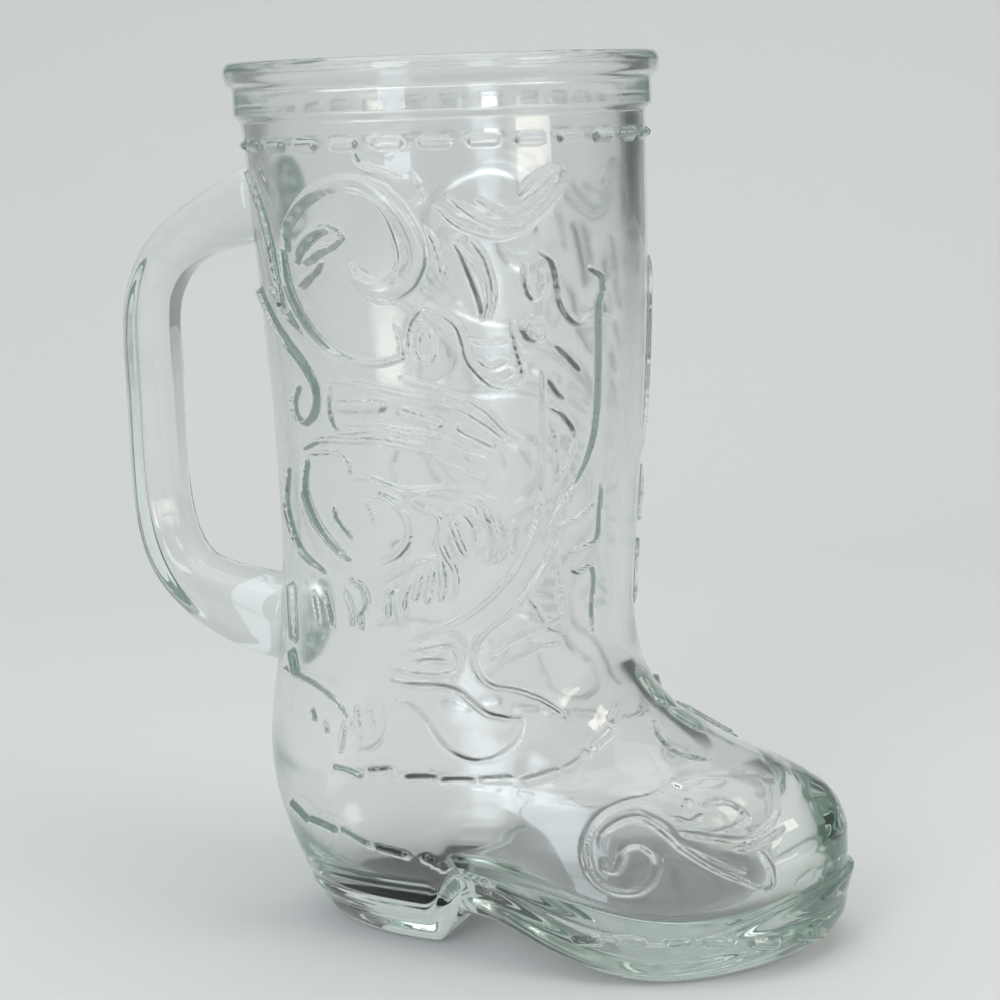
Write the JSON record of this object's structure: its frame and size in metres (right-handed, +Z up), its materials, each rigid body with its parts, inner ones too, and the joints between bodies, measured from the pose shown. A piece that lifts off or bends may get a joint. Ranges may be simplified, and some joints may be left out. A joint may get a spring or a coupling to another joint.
{
  "type": "boot drinking glass",
  "caption": "Pressed glass drinking boot with a western relief, a rolled rim and a D-shaped side handle; hollow from rim to toe, stands on its own sole.",
  "frame": {"origin": "on the table, under the middle of the whole glass with its handle", "axes": "+X points to the toe, the handle is at -X; +Y is the boot's left side; +Z is up, towards the rim"},
  "size_m": [0.1564, 0.088, 0.18],
  "materials": {
    "boot_glass": "clear soda-lime glass, fire polished, slight green-grey tint in thick parts",
    "handle_glass": "clear soda-lime glass, fire polished, greener because it is thicker"
  },
  "bodies": {
    "root": {"boot_body": "boot_glass", "handle": "handle_glass"}
  },
  "joints": []
}
